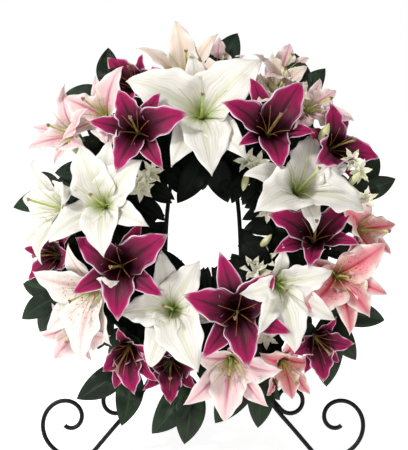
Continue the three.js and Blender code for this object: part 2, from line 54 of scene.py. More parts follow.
EYE = Vector((0, -math.sin(EYE_DROP), math.cos(EYE_DROP))) * EYE_DISTANCE

RING_OUTER = 203
RING_INNER = 107
TRAY_HEIGHT = 22
FOAM_HEIGHT = 56
TRAY_WALL = 2
BAR = 3.5
GAP = 0.4
BAR_PLANE = -BAR - 2 * GAP
THROAT = 22

# The ring's centre, from where the tray lies in the frame.
tray_low, tray_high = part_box("ring_tray")
RING_CENTRE = Vector((
    (tray_low.x + tray_high.x) / 2,
    tray_low.y + (RING_OUTER * math.sin(LEAN) + TRAY_HEIGHT * math.cos(LEAN)) * MM,
    tray_low.z + RING_OUTER * math.cos(LEAN) * MM,
))
STANDING = Matrix.Rotation(math.pi / 2 - LEAN, 4, "X")
FACE = Matrix.Translation(RING_CENTRE) @ STANDING @ Matrix.Scale(MM, 4)
X_AXIS, Y_AXIS, FORWARD = Vector((1, 0, 0)), Vector((0, 1, 0)), Vector((0, 0, 1))


def seen(x, y, z):
    """A layout point at a depth, slid along the line of sight."""
    start = Vector((x, y * math.cos(EYE_DROP), y * math.sin(EYE_DROP)))
    return start.lerp(EYE, (z - start.z) / (EYE.z - start.z))


HASH_WEIGHTS = (12.9898, 78.233, 37.719, 4.581)
HASH_SCALE = 43758.5453


def chance(*seeds):
    """A number from 0 to 1 that always comes out the same for the same seeds."""
    total = sum(seed * weight for seed, weight in zip(seeds, HASH_WEIGHTS))
    return (math.sin(total) * HASH_SCALE) % 1


def spread(low, high, *seeds):
    """A number from low to high that goes by its seeds."""
    return low + (high - low) * chance(*seeds)


def direction(clock):
    """The way outwards at a clock angle."""
    return Vector((math.cos(clock), math.sin(clock), 0))


# ---------------------------------------------------------------- materials
class Shader:
    """A material's node tree, with short names for the nodes used here."""

    def __init__(self, name, roughness=0.5, specular=0.5):
        self.material = bpy.data.materials.new(name)
        self.material.use_nodes = True
        self.tree = self.material.node_tree
        self.bsdf = self.tree.nodes["Principled BSDF"]
        self.bsdf.inputs["Roughness"].default_value = roughness
        self.bsdf.inputs["Specular IOR Level"].default_value = specular

    def node(self, kind, inputs=(), **settings):
        made = self.tree.nodes.new(kind)
        for key, value in settings.items():
            setattr(made, key, value)
        for key, value in dict(inputs).items():
            self.put(made.inputs[key], value)
        return made

    def put(self, socket, value):
        if isinstance(value, bpy.types.NodeSocket):
            self.tree.links.new(value, socket)
        else:
            socket.default_value = value

    def math(self, operation, a, b=0.0, c=0.0):
        made = self.node("ShaderNodeMath", {0: a, 1: b, 2: c}, operation=operation)
        return made.outputs[0]

    def span(self, value, low, high):
        """0 below low and 1 above high, smoothly; the other way round if low is above high."""
        made = self.node("ShaderNodeMapRange", interpolation_type="SMOOTHSTEP")
        for key, setting in zip(("Value", "From Min", "From Max"), (value, low, high)):
            self.put(made.inputs[key], setting)
        return made.outputs[0]

    def mix(self, factor, a, b):
        made = self.node("ShaderNodeMix", data_type="RGBA")
        self.put(made.inputs[0], factor)
        self.put(made.inputs[6], a)
        self.put(made.inputs[7], b)
        return made.outputs[2]

    def uv(self):
        """How far along a petal or leaf a point lies, and how far out from its midrib."""
        uv = self.node("ShaderNodeUVMap", uv_map="Blade").outputs[0]
        parts = self.node("ShaderNodeSeparateXYZ", {0: uv}).outputs
        side = self.math("MULTIPLY_ADD", parts[0], 2.0, -1.0)
        return uv, parts[1], self.math("ABSOLUTE", side)

    def noise(self, scale, detail=3.0, vector=None):
        source = vector or self.node("ShaderNodeTexCoord").outputs["Object"]
        made = self.node("ShaderNodeTexNoise", {"Vector": source, "Scale": scale, "Detail": detail})
        return made.outputs["Fac"]

    def stretched(self, uv, across, along):
        return self.node("ShaderNodeMapping", {"Vector": uv, "Scale": (across, along, 1)}).outputs[0]

    def bump(self, height, distance, strength=1.0):
        made = self.node("ShaderNodeBump", {"Height": height, "Distance": distance, "Strength": strength})
        self.put(self.bsdf.inputs["Normal"], made.outputs[0])

    def colour(self, value):
        self.put(self.bsdf.inputs["Base Color"], value)

    def translucent(self, colour, share):
        """Lets that share of the light through, as a petal does."""
        output = self.tree.nodes["Material Output"]
        through = self.node("ShaderNodeBsdfTranslucent", {"Color": colour})
        both = self.node("ShaderNodeMixShader", {0: share, 1: self.bsdf.outputs[0], 2: through.outputs[0]})
        self.put(output.inputs["Surface"], both.outputs[0])


def rgb(red, green, blue):
    """A linear colour from its 0 to 255 values on screen."""
    return tuple((value / 255) ** 2.2 for value in (red, green, blue)) + (1.0,)


# How far streaks shift a petal's colour bounds, and how much of its veins and stains shows.
FRAY = 0.34
VEIN_SHARE, STAIN_SHARE, MARGIN_SHARE = 0.6, 0.35, 0.8
VEIN_DEPTH, VEIN_STRENGTH = 0.0014, 0.8
PETAL_GLOW = 0.2
SPOT_CELLS = (14, 26)


def petal_shader(name, colours, spots=0.0, specular=0.3):
    """Petals of a kind: their colours and where those start, and how far along spots reach."""
    shader = Shader(name, roughness=0.44, specular=specular)
    uv, along, out = shader.uv()
    streaks = shader.noise(5.0, 4.0, shader.stretched(uv, 9.0, 1.2))
    jitter = shader.math("MULTIPLY_ADD", streaks, FRAY, -FRAY / 2)
    reach = shader.math("ADD", out, jitter)
    length = shader.math("ADD", along, jitter)

    # The blade, stained in clouds and streaked along its veins.
    cloud = shader.noise(28.0, 3.0)
    stain = shader.math("MULTIPLY", shader.span(cloud, 0.4, 0.75), STAIN_SHARE)
    body = shader.mix(stain, colours["body"], colours["body_2"])
    fine = shader.noise(3.0, 3.0, shader.stretched(uv, 7.0, 0.5))
    vein = shader.math("MULTIPLY", shader.span(fine, 0.46, 0.66), VEIN_SHARE)
    body = shader.mix(vein, body, colours["body_2"])

    # A paler margin, the throat's colour from the base, and the midrib.
    margin_start = shader.math("MULTIPLY_ADD", along, -0.25, colours["margin_from"])
    margin = shader.math("MULTIPLY", shader.span(reach, margin_start, 1.0), MARGIN_SHARE)
    body = shader.mix(margin, body, colours["margin"])
    throat = shader.span(length, colours["throat_to"], colours["throat_from"])
    body = shader.mix(throat, body, colours["throat"])
    rib = shader.math("MULTIPLY", shader.span(out, 0.22, 0.0), shader.span(along, 1.0, 0.45))
    body = shader.mix(rib, body, colours["rib"])

    # The thin edge, which widens to the tip and fades out towards the base.
    edge_start = shader.math("MULTIPLY_ADD", along, -0.2, colours["edge_from"])
    tip = shader.span(length, 0.86, 1.02)
    edge = shader.math("SMOOTH_MAX", shader.span(reach, edge_start, 1.0), tip, 0.1)
    edge = shader.math("MULTIPLY", edge, shader.span(along, 0.24, 0.5))
    body = shader.mix(edge, body, colours["edge"])

    if spots:
        cells = {"Vector": shader.stretched(uv, *SPOT_CELLS), "Scale": 1.0, "Randomness": 0.9}
        distance = shader.node("ShaderNodeTexVoronoi", cells).outputs["Distance"]
        where = shader.math("MULTIPLY", shader.span(along, spots, 0.2), shader.span(out, 0.85, 0.5))
        dots = shader.math("MULTIPLY", shader.span(distance, 0.34, 0.2), where)
        body = shader.mix(dots, body, colours["spot"])
    shader.colour(body)
    shader.bump(fine, VEIN_DEPTH, VEIN_STRENGTH)
    shader.translucent(body, PETAL_GLOW)
    return shader.material


def plain_shader(name, colour, second, roughness=0.5, scale=60.0, bump=0.0006, **settings):
    """A surface in clouds of two colours, slightly uneven."""
    shader = Shader(name, roughness=roughness, **settings)
    cloud = shader.noise(scale)
    shader.colour(shader.mix(shader.span(cloud, 0.35, 0.68), colour, second))
    shader.bump(cloud, bump)
    return shader.material


def leaf_shader(name, dark, light, rib, specular):
    """Waxy leaves with parallel veins and a pale midrib."""
    shader = Shader(name, roughness=0.34, specular=specular)
    uv, along, out = shader.uv()
    cloud = shader.noise(30.0)
    veins = shader.noise(12.0, 2.0, shader.stretched(uv, 14.0, 0.5))
    body = shader.mix(shader.span(cloud, 0.35, 0.7), dark, light)
    body = shader.mix(shader.math("MULTIPLY", shader.span(veins, 0.5, 0.75), 0.5), body, light)
    shader.colour(shader.mix(shader.span(out, 0.09, 0.02), body, rib))
    shader.bump(veins, 0.0012, 0.6)
    return shader.material


CRIMSON = petal_shader("crimson_petal", {
    "throat": rgb(30, 0, 10), "throat_from": 0.2, "throat_to": 0.92, "rib": rgb(52, 2, 20),
    "body": rgb(176, 2, 92), "body_2": rgb(128, 2, 60), "spot": rgb(20, 0, 6),
    "margin": rgb(226, 60, 140), "margin_from": 0.72, "edge": rgb(252, 228, 238), "edge_from": 0.96,
}, spots=0.55, specular=0.12)
WHITE = petal_shader("white_petal", {
    "throat": rgb(168, 184, 106), "throat_from": 0.04, "throat_to": 0.3, "rib": rgb(222, 222, 196),
    "body": rgb(246, 242, 234), "body_2": rgb(208, 203, 190), "margin": rgb(250, 247, 240),
    "margin_from": 0.6, "edge": rgb(250, 248, 243), "edge_from": 0.86,
})
SPECKLED = petal_shader("speckled_petal", {
    "throat": rgb(190, 196, 118), "throat_from": 0.04, "throat_to": 0.32, "rib": rgb(230, 186, 186),
    "body": rgb(248, 240, 232), "body_2": rgb(222, 204, 194), "spot": rgb(190, 70, 108),
    "margin": rgb(250, 246, 239), "margin_from": 0.6, "edge": rgb(250, 248, 243), "edge_from": 0.86,
}, spots=0.85)
CREAM = petal_shader("cream_petal", {
    "throat": rgb(196, 196, 118), "throat_from": 0.04, "throat_to": 0.36, "rib": rgb(232, 204, 180),
    "body": rgb(248, 232, 216), "body_2": rgb(234, 208, 192), "margin": rgb(250, 240, 228),
    "margin_from": 0.6, "edge": rgb(252, 246, 236), "edge_from": 0.84,
})
SHELL = petal_shader("shell_petal", {
    "throat": rgb(206, 200, 130), "throat_from": 0.06, "throat_to": 0.34, "rib": rgb(214, 120, 148),
    "body": rgb(246, 218, 216), "body_2": rgb(234, 180, 190), "margin": rgb(250, 234, 228),
    "margin_from": 0.5, "edge": rgb(252, 242, 238), "edge_from": 0.8, "spot": rgb(170, 50, 88),
}, spots=0.5)
PINK = petal_shader("pink_petal", {
    "throat": rgb(192, 124, 80), "throat_from": 0.02, "throat_to": 0.34, "rib": rgb(204, 48, 84),
    "body": rgb(238, 150, 156), "body_2": rgb(220, 108, 128), "margin": rgb(250, 220, 212),
    "margin_from": 0.34, "edge": rgb(252, 240, 230), "edge_from": 0.7, "spot": rgb(120, 6, 34),
}, spots=0.8)
LEAF = leaf_shader("leaf", rgb(9, 26, 10), rgb(24, 48, 18), rgb(36, 60, 27), 0.3)
# A second copy of the leaf, painted near black and with less sheen: painted shade for the leaves in the
# ring's hole and on the foam under the flowers.
PAINTED_SHADE_LEAF = leaf_shader("leaf_painted_shade", rgb(5, 10, 5), rgb(12, 24, 10), rgb(18, 32, 14), 0.12)
STEM_GREEN = plain_shader("stem", rgb(84, 118, 50), rgb(58, 92, 38), 0.45)
STYLE = plain_shader("style", rgb(190, 206, 120), rgb(160, 182, 92), 0.4)
DARK_STYLE = plain_shader("dark_style", rgb(150, 136, 76), rgb(118, 92, 60), 0.4)
FILAMENT = plain_shader("filament", rgb(196, 200, 104), rgb(160, 168, 70), 0.4)
DARK_FILAMENT = plain_shader("dark_filament", rgb(150, 104, 50), rgb(120, 60, 40), 0.4)
STIGMA = plain_shader("stigma", rgb(116, 84, 66), rgb(150, 120, 90), 0.35)
FLORET_WHITE = plain_shader("floret", rgb(244, 242, 222), rgb(226, 224, 190), 0.45)
BUD = plain_shader("bud", rgb(226, 224, 176), rgb(190, 196, 130), 0.42)
FOAM = plain_shader("floral_foam", rgb(12, 22, 11), rgb(6, 12, 6), 0.95, 160.0, 0.003, specular=0.1)
TRAY = plain_shader("ring_tray", rgb(18, 40, 24), rgb(14, 32, 20), 0.5, 220.0, 0.0003)
IRON = plain_shader("black_iron", rgb(10, 10, 10), rgb(18, 17, 17), 0.4, 300.0, 0.0004, specular=0.25)


# ---------------------------------------------------------------- meshes
EDGE_THINNING = 0.65
WELD_DISTANCE = 0.00001
EDGE_BEVEL = 0.0006
ANY_SIDE = (0.3, 0.2, 0.93)


class Piece:
    """Gathers the surfaces of one piece, in millimetres, and makes its object."""

    def __init__(self):
        self.points, self.faces, self.uvs, self.slots, self.materials = [], [], [], [], []

    def slot_of(self, material):
        if material not in self.materials:
            self.materials.append(material)
        return self.materials.index(material)

    def add(self, points, faces, uvs, material, matrix=None):
        """points as rows, faces as rows of four, and a uv for every point."""
        if matrix is not None:
            turn = np.array(matrix)
            points = points @ turn[:3, :3].T + turn[:3, 3]
        start = sum(len(some) for some in self.points)
        self.points.append(points)
        self.faces.append(faces + start)
        self.uvs.append(uvs)
        self.slots.append(np.full(len(faces), self.slot_of(material)))

    def sheet(self, rows, thickness, material):
        """A sheet from a grid of points, thinner at its edges, closed all round."""
        count, width = rows.shape[:2]
        along = np.gradient(rows, axis=0)
        across = np.gradient(rows, axis=1)
        normal = np.cross(across, along)
        normal /= np.maximum(np.linalg.norm(normal, axis=2, keepdims=True), 1e-9)
        across_share = np.linspace(-1, 1, width)
        thin = thickness * (1 - EDGE_THINNING * across_share[None, :, None] ** 2)
        upper, lower = rows + normal * thin / 2, rows - normal * thin / 2
        points = np.concatenate([upper.reshape(-1, 3), lower.reshape(-1, 3)])
        u, v = np.meshgrid(np.linspace(0, 1, width), np.linspace(0, 1, count))
        uv = np.stack([u, v], axis=2).reshape(-1, 2)
        index = np.arange(count * width).reshape(count, width)
        corners = [index[:-1, :-1], index[:-1, 1:], index[1:, 1:], index[1:, :-1]]
        top = np.stack(corners, axis=2).reshape(-1, 4)
        bottom = top[:, ::-1] + count * width
        edge = np.concatenate([index[0, :-1], index[:-1, -1], index[-1, :0:-1], index[:0:-1, 0]])
        after = np.roll(edge, -1)
        rim = np.stack([after, edge, edge + count * width, after + count * width], axis=1)
        faces = np.concatenate([top, bottom, rim])
        self.add(points, faces, np.concatenate([uv, uv]), material)

    def tube(self, path, radii, material, matrix=None, sides=10, across=None):
        """A round bar through points, closed at both ends."""
        path = np.array([tuple(point) for point in path], float)
        radii = np.broadcast_to(np.array(radii, float), (len(path),))
        tangent = np.gradient(path, axis=0)
        tangent /= np.linalg.norm(tangent, axis=1, keepdims=True)
        rings = []
        side = np.array(across or ANY_SIDE, float)
        for point, way, radius in zip(path, tangent, radii):
            side = side - way * side.dot(way)
            side /= np.linalg.norm(side)
            other = np.cross(way, side)
            angle = np.linspace(0, 2 * math.pi, sides, endpoint=False)[:, None]
            rings.append(point + radius * (np.cos(angle) * side + np.sin(angle) * other))
        ends = [np.repeat(path[:1], sides, 0), *rings, np.repeat(path[-1:], sides, 0)]
        points = np.concatenate(ends)
        index = np.arange(len(points)).reshape(-1, sides)
        after = np.roll(index, -1, axis=1)
        faces = np.stack([index[:-1], after[:-1], after[1:], index[1:]], axis=2).reshape(-1, 4)
        along = np.repeat(np.linspace(0, 1, len(index)), sides)
        uv = np.stack([np.full(len(points), 0.5), along], axis=1)
        self.add(points, faces, uv, material, matrix)

    def object(self, name, nodes):
        """The piece as an object that takes the place of its nodes and stays above the ground."""
        mesh = bpy.data.meshes.new(name)
        points = np.concatenate(self.points)
        faces = np.concatenate(self.faces)
        mesh.from_pydata(points.tolist(), [], faces.tolist())
        mesh.transform(FACE)
        for vertex in mesh.vertices:
            vertex.co.z = max(vertex.co.z, 0)
        layer = mesh.uv_layers.new(name="Blade")
        layer.data.foreach_set("uv", np.concatenate(self.uvs)[faces.reshape(-1)].reshape(-1))
        for material in self.materials:
            mesh.materials.append(material)
        mesh.polygons.foreach_set("material_index", np.concatenate(self.slots))
        mesh.polygons.foreach_set("use_smooth", np.ones(len(faces), bool))
        mesh.validate()
        made = bpy.data.objects.new(name, mesh)
        bpy.context.scene.collection.objects.link(made)
        weld = made.modifiers.new("weld", "WELD")
        weld.merge_threshold = WELD_DISTANCE
        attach(made, "root")
        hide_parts(*nodes)
        return made


def bevelled(made, sharp_from=30):
    """Rounds an object's edges that turn by so many degrees or more."""
    bevel = made.modifiers.new("bevel", "BEVEL")
    bevel.width = EDGE_BEVEL
    bevel.segments = 2
    bevel.angle_limit = math.radians(sharp_from)


def outline(s, rise, fall):
    """The outline of a blade: 0 at both ends and 1 at its widest."""
    peak = rise / (rise + fall)
    return s**rise * (1 - s) ** fall / (peak**rise * (1 - peak) ** fall)


# ---------------------------------------------------------------- layers
# How near the viewer the front flower stands in each cell of the layout. A petal or leaf
# that would cross it is bent along the line of sight, until it lies over or under it.
CELL = 3
CELLS = 260
CLEAR = 2.6
SMOOTHINGS = 16
FARTHEST_BEND = 60
FIRM_BASE, FREE_FROM = 0.06, 0.3
SIGHT = np.array(EYE.normalized())
SIGHT_UP = np.array((0, math.cos(EYE_DROP), math.sin(EYE_DROP)))
front = np.full((CELLS, CELLS), -np.inf)


def cells_of(points):
    """The layout cells that points are seen in, and how near the viewer they are."""
    near = points @ SIGHT
    scale = EYE.length / (EYE.length - near)
    x, y = points[..., 0] * scale, (points @ SIGHT_UP) * scale
    index = np.clip(np.stack([x, y]) / CELL + CELLS / 2, 0, CELLS - 1).astype(int)
    return index[0], index[1], near


def widened(values):
    """Every cell's highest value among itself and its neighbours."""
    padded = np.pad(values, 1, mode="edge")
    count = len(values)
    return np.max([padded[i:i + count, j:j + count] for i in range(3) for j in range(3)], axis=0)


def lay(rows, cover, place=None):
    """Bends a grid of points over or under the flowers in cover, by its place there, or where
    most of it lies already. Its base stays where it is."""
    across, down, near = cells_of(rows)
    other = cover[across, down]
    covered = np.isfinite(other)
    if not covered.any():
        return rows
    above = near - np.where(covered, other, 0)
    usual = "under" if np.median(above[covered]) < 0 else "over"
    side = {"over": 1, "under": -1}[place or usual]
    need = np.where(covered, np.clip(CLEAR - side * above, 0, FARTHEST_BEND), 0)
    along = np.linspace(0, 1, len(rows))[:, None]
    need *= np.clip((along - FIRM_BASE) / (FREE_FROM - FIRM_BASE), 0, 1)
    for _ in range(SMOOTHINGS):
        padded = np.pad(need, 1, mode="edge")
        around = padded[:-2, 1:-1] + padded[2:, 1:-1] + padded[1:-1, :-2] + padded[1:-1, 2:]
        need = np.maximum(need, around / 4)
    return rows + side * need[..., None] * SIGHT


def finer(rows, times=3):
    """The grid with points added between its own."""
    for axis, shape in enumerate(((-1, 1, 1), (1, -1, 1))):
        count = rows.shape[axis]
        place = np.linspace(0, count - 1, (count - 1) * times + 1)
        low = np.minimum(place.astype(int), count - 2)
        share = (place - low).reshape(shape)
        rows = np.take(rows, low, axis) * (1 - share) + np.take(rows, low + 1, axis) * share
    return rows


def mark(rows, surface):
    """Adds a grid of points to a surface of cells."""
    across, down, near = cells_of(finer(rows))
    np.maximum.at(surface, (across, down), near)


def lay_path(points, matrix, cover):
    """A flower's path of points in the layout, bent clear of the flowers in cover."""
    path = np.array([tuple(matrix @ point) for point in points])
    return lay(path[:, None], cover)[:, 0]


# ---------------------------------------------------------------- stems
STEM_END = {"nearest": 130, "farthest": 180, "z": 25}
STEM_RADII = (3.0, 2.6, 2.4, 2.4)


def stem(piece, start, shift=0.0, start_radius=4.0):
    """A flower's stem over the tray's rim and into the foam, at its own clock angle."""
    clock = math.atan2(start.y, start.x) + math.radians(shift)
    radius = min(max(math.hypot(start.x, start.y), STEM_END["nearest"]), STEM_END["farthest"])
    end = direction(clock) * radius + FORWARD * STEM_END["z"]
    path = [start.lerp(end, share) for share in (0, 0.25, 0.5, 0.75, 1)]
    piece.tube(path, [start_radius, *STEM_RADII], STEM_GREEN, sides=8)


def stalk(piece, start, end, end_radius, material):
    """A floret's or a bud's own thin stalk."""
    path = [start.lerp(end, share) for share in (0, 0.3, 0.6, 1)]
    piece.tube(path, [2, 1.8, 1.8, end_radius], material)


# ---------------------------------------------------------------- lilies
RISE = math.radians(24)
CURL_FROM = 0.68
BASE_RADIUS = 2.6
GROOVE, MIDRIB_WIDTH = 1.6, 0.14
SIDE_GROOVE = {"at": 0.45, "width": 0.12, "share": 0.5}
BACK_FROM = 0.55
PETAL_THICKNESS = 1.1
WIDTHS = {"white": 0.28, "crimson": 0.25, "pink": 0.26}
SLENDER = {
    "white_lily_2": 0.74, "white_lily_4": 0.9, "white_lily_8": 0.86,
    "pink_lily_1": 0.9, "pink_lily_2": 0.85,
}
# The three inner petals, and the narrower and plainer outer ones that lie under them.
INNER_PETALS = {"order": (0, 2, 4), "share": 1, "drop": 0, "ruffle": 1.2}
OUTER_PETALS = {"order": (1, 3, 5), "share": 0.66, "drop": 3.2, "ruffle": 0.6}
USUAL_CURL = 44
LENGTH_RANGE = (0.8, 1.25)
AIM_ROUNDS = 6
ROWS, COLUMNS = 32, 15
PETALS = {"white": WHITE, "crimson": CRIMSON, "pink": PINK}
LOOKS = {"white_lily_2": CREAM, "white_lily_9": CREAM, "white_lily_6": SPECKLED}
LOOKS.update({f"pink_lily_{number}": SHELL for number in (1, 2, 3, 4, 6, 9, 10)})

# Each bloom's name, the place of its throat, where it faces (degrees right and up), its
# size and how far its petals open, and then its petals' tips from its throat. A tip may
# also say how far it curls back, and if it lies over or under the flowers above it.
LILIES = [
    ("crimson_lily_1", (-106, 163, 122), (-6, 6), 92, 104,
     [(80, 25), (38, 60), (-29, 62), (-77, 13), (-32, -66), (42, -63)]),
    ("crimson_lily_2", (107, 163, 118), (8, 20), 96, 100,
     [(51, 74), (-32, 85), (-76, 43), (-41, -21), (16, -64), (72, -4)]),
    ("crimson_lily_3", (-133, -54, 106), (-6, -4), 98, 104,
     [(76, 49), (35, 70), (-69, 44), (-76, -45), (-3, -86), (70, -49)]),
    ("crimson_lily_4", (179, -6, 96), (4, 22), 88, 100,
     [(59, 43), (-23, 56), (-75, 32), (-67, -29), (-7, -39), (72, -14)]),
    ("crimson_lily_5", (56, -128, 112), (2, -4), 104, 102,
     [(58, 62), (-30, 97), (-86, 27), (-58, -74), (16, -87), (86, -34)]),
    ("white_lily_8", (122, -85, 109), (14, -12), 100, 98,
     [(83, 23), (4, 54), (-46, -8, 60, "over"), (-35, -78, 30, "over"), (27, -118), (90, -56)]),
    ("white_lily_3", (-162, 46, 112), (-12, 8), 108, 102,
     [(3, -84), (75, -37), (63, 67), (14, 101), (-34, 90), (-84, -63, 80)]),
    ("white_lily_5", (155, 70, 102), (20, 22), 106, 104,
     [(100, -40, 60), (22, -71, 70), (-89, -47), (-93, 19, 90), (16, 82), (77, 37)]),
    ("white_lily_1", (-2, 190, 86), (0, 12), 128, 104,
     [(95, 84), (72, -74), (16, -98), (-49, -86), (-119, 50), (-16, 96)]),
    ("white_lily_7", (-50, -122, 86), (-4, 4), 106, 100,
     [(43, 74), (-17, 94), (-82, -8), (-38, -104, 110), (43, -105), (59, -19)]),
    ("white_lily_6", (-179, -93, 84), (-30, -22), 104, 84,
     [(41, 13, 70), (-38, 73), (-91, 29), (-72, -68), (-14, -118), (31, -89)]),
    ("pink_lily_5", (219, -70, 80), (14, -2), 98, 96,
     [(71, 51), (-53, 26), (-66, -62), (16, -95), (46, -64), (77, -30)]),
    ("pink_lily_6", (44, -210, 80), (-4, -26), 96, 88,
     [(-10, -91), (60, -70), (80, -10), (20, 40), (-32, 14), (-75, -67)]),
    ("pink_lily_1", (-163, 190, 78), (-24, 12), 90, 88,
     [(34, 73), (-10, 60), (-59, 24), (-63, -43), (10, -50), (30, -62)]),
    ("white_lily_4", (-229, 37, 80), (-50, 4), 96, 80,
     [(36, 60), (-42, 78, 80), (-58, 20), (-55, -60, 60), (-32, -93, 60), (40, -40)]),
    ("white_lily_2", (-26, 252, 58), (-4, 34), 92, 76,
     [(-18, 84), (50, 66), (70, 11), (8, -24), (-20, -16), (-80, 43)]),
    ("white_lily_9", (120, 232, 58), (14, 30), 84, 80,
     [(-10, 50), (-50, 20), (-36, -30), (0, -60), (50, -20), (48, 34)]),
    ("pink_lily_3", (173, 200, 62), (30, 16), 84, 84,
     [(34, 22), (12, 40), (-40, 40), (-30, -40), (15, -22), (70, -22)]),
    ("crimson_lily_8", (210, 136, 60), (34, 12), 84, 84,
     [(-8, 70), (22, 50), (70, -18), (26, -50), (-40, -40), (-50, 30)]),
    ("pink_lily_2", (-216, 158, 54), (-40, 4), 86, 76,
     [(-6, 76), (-58, 10), (-62, -24), (-20, -44), (30, -30), (30, 40)]),
    ("pink_lily_7", (256, 4, 50), (38, 0), 90, 80,
     [(50, 8), (10, 66), (-40, 40), (-30, -50), (20, -60), (46, -40)]),
    ("crimson_lily_6", (-122, -190, 66), (-18, -34), 82, 76,
     [(-26, -20), (-20, -62), (12, -68), (50, -50), (42, 0), (-10, 30)]),
    ("crimson_lily_7", (184, -174, 62), (20, -30), 82, 80,
     [(56, -4), (34, -36), (8, -64), (-22, -54), (-36, -12), (12, 24)]),
    ("pink_lily_4", (22, 254, 40), (14, 36), 74, 70,
     [(4, 56), (-40, 34), (-50, -10), (0, -40), (40, -20), (44, 30)]),
    ("pink_lily_10", (126, 256, 34), (24, 34), 76, 76,
     [(12, 44), (-44, 30), (-50, -20), (0, -50), (40, -20), (44, 24)]),
    ("crimson_lily_10", (-108, 236, 44), (-22, 30), 78, 76,
     [(-44, 42), (-60, -10), (-20, -50), (40, -40), (50, 20), (10, 50)]),
    ("crimson_lily_9", (-238, -36, 46), (-40, -6), 76, 74,
     [(-20, 50), (-50, 10), (-40, -40), (10, -50), (40, -10), (30, 40)]),
    ("pink_lily_9", (-200, -156, 42), (-30, -28), 82, 80,
     [(-40, 40), (-60, -10), (-36, -46), (20, -50), (50, -10), (10, 50)]),
    ("pink_lily_8", (132, -214, 46), (18, -32), 80, 80,
     [(10, -52), (40, -46), (50, 10), (10, 50), (-40, 20), (-30, -50)]),
    ("crimson_lily_11", (-52, -214, 52), (-6, -34), 78, 70,
     [(0, -60), (44, -40), (46, 20), (0, 40), (-46, 20), (-44, -40)]),
]
STEM_SHIFTS = {"pink_lily_10": -6}


def leans(s, flare, curl):
    """How far a petal leans off its bloom's axis along its length."""
    tip = np.maximum(0, (s - CURL_FROM) / (1 - CURL_FROM))
    return RISE + (flare - RISE) * s + curl * tip * tip


def spine(count, flare, curl):
    """A petal's centre line for length 1: distance out, height and lean at equal steps."""
    fine = 12
    steps = (count - 1) * fine
    middles = leans((np.arange(steps) + 0.5) / steps, flare, curl)
    out = np.concatenate([[0], np.cumsum(np.sin(middles))]) / steps
    up = np.concatenate([[0], np.cumsum(np.cos(middles))]) / steps
    return out[::fine], up[::fine], leans(np.linspace(0, 1, count), flare, curl)


def facing(yaw, pitch):
    """The turn that faces a bloom so many degrees to the right and up."""
    yaw, pitch = math.radians(yaw), math.radians(pitch)
    level = math.cos(pitch)
    way = Vector((math.sin(yaw) * level, math.sin(pitch), math.cos(yaw) * level))
    return FORWARD.rotation_difference(way)


def aim(target, base, turn, flare, curl, size):
    """The clock angle and length of a petal that bring its tip to a layout point."""
    e1, e2, n = (turn @ axis for axis in (X_AXIS, Y_AXIS, FORWARD))
    out, up, _ = spine(5, flare, curl)
    away, rise = out[-1], up[-1]
    det = e1.x * e2.y - e2.x * e1.y

    def split(x, y):
        return (e2.y * x - e2.x * y) / (det * away), (e1.x * y - e1.y * x) / (det * away)

    lean = split(rise * n.x, rise * n.y)
    depth = base.z
    for _ in range(AIM_ROUNDS):
        way = seen(*target, depth) - base
        wanted = split(way.x, way.y)
        dot = wanted[0] * lean[0] + wanted[1] * lean[1]
        square = wanted[0] ** 2 + wanted[1] ** 2
        root = math.sqrt(max(0, dot * dot + square * (1 - lean[0] ** 2 - lean[1] ** 2)))
        length = square / max(1e-6, dot + root)
        clock = math.atan2(wanted[1] / length - lean[1], wanted[0] / length - lean[0])
        length = min(max(length, size * LENGTH_RANGE[0]), size * LENGTH_RANGE[1])
        outwards = math.cos(clock) * e1.z + math.sin(clock) * e2.z
        depth = base.z + length * (away * outwards + rise * n.z)
    return clock, length


def ripple(s, t, turns, shift, seed, first):
    """A wave along a petal's length, out of step between its two sides."""
    wave = spread(*turns, seed, first) * s + chance(seed, first + 1)
    return np.sin(2 * math.pi * wave + np.sign(t) * spread(*shift, seed, first + 2))


def petal_lift(s, t, half, radius, ruffle, seed):
    """How far a petal rises off its centre line: funnelled at its base, ruffled at its edges,
    bent back towards its tip, and grooved along its midrib and the ridges beside it."""
    bell = np.sin(math.pi * s)
    wrap = np.minimum(half**2 / (2 * radius), half * 0.5)
    lift = (0.2 * half + wrap) * (1 - s) * t**2
    wave = ripple(s, t, (2.6, 4.2), (0.6, 2), seed, 1)
    lift = lift + ruffle * spread(2.4, 4.4, seed, 4) * wave * np.abs(t) ** 3 * bell
    bent = np.clip((s - BACK_FROM) / (1 - BACK_FROM), 0, 1)
    lift = lift - spread(0.05, 0.3, seed, 5) * half * t**2 * bent
    beside = np.exp(-(((np.abs(t) - SIDE_GROOVE["at"]) / SIDE_GROOVE["width"]) ** 2))
    groove = np.exp(-((t / MIDRIB_WIDTH) ** 2)) + SIDE_GROOVE["share"] * beside
    return lift - GROOVE * groove * np.sin(math.pi * np.minimum(1, s * 1.1)) ** 0.5


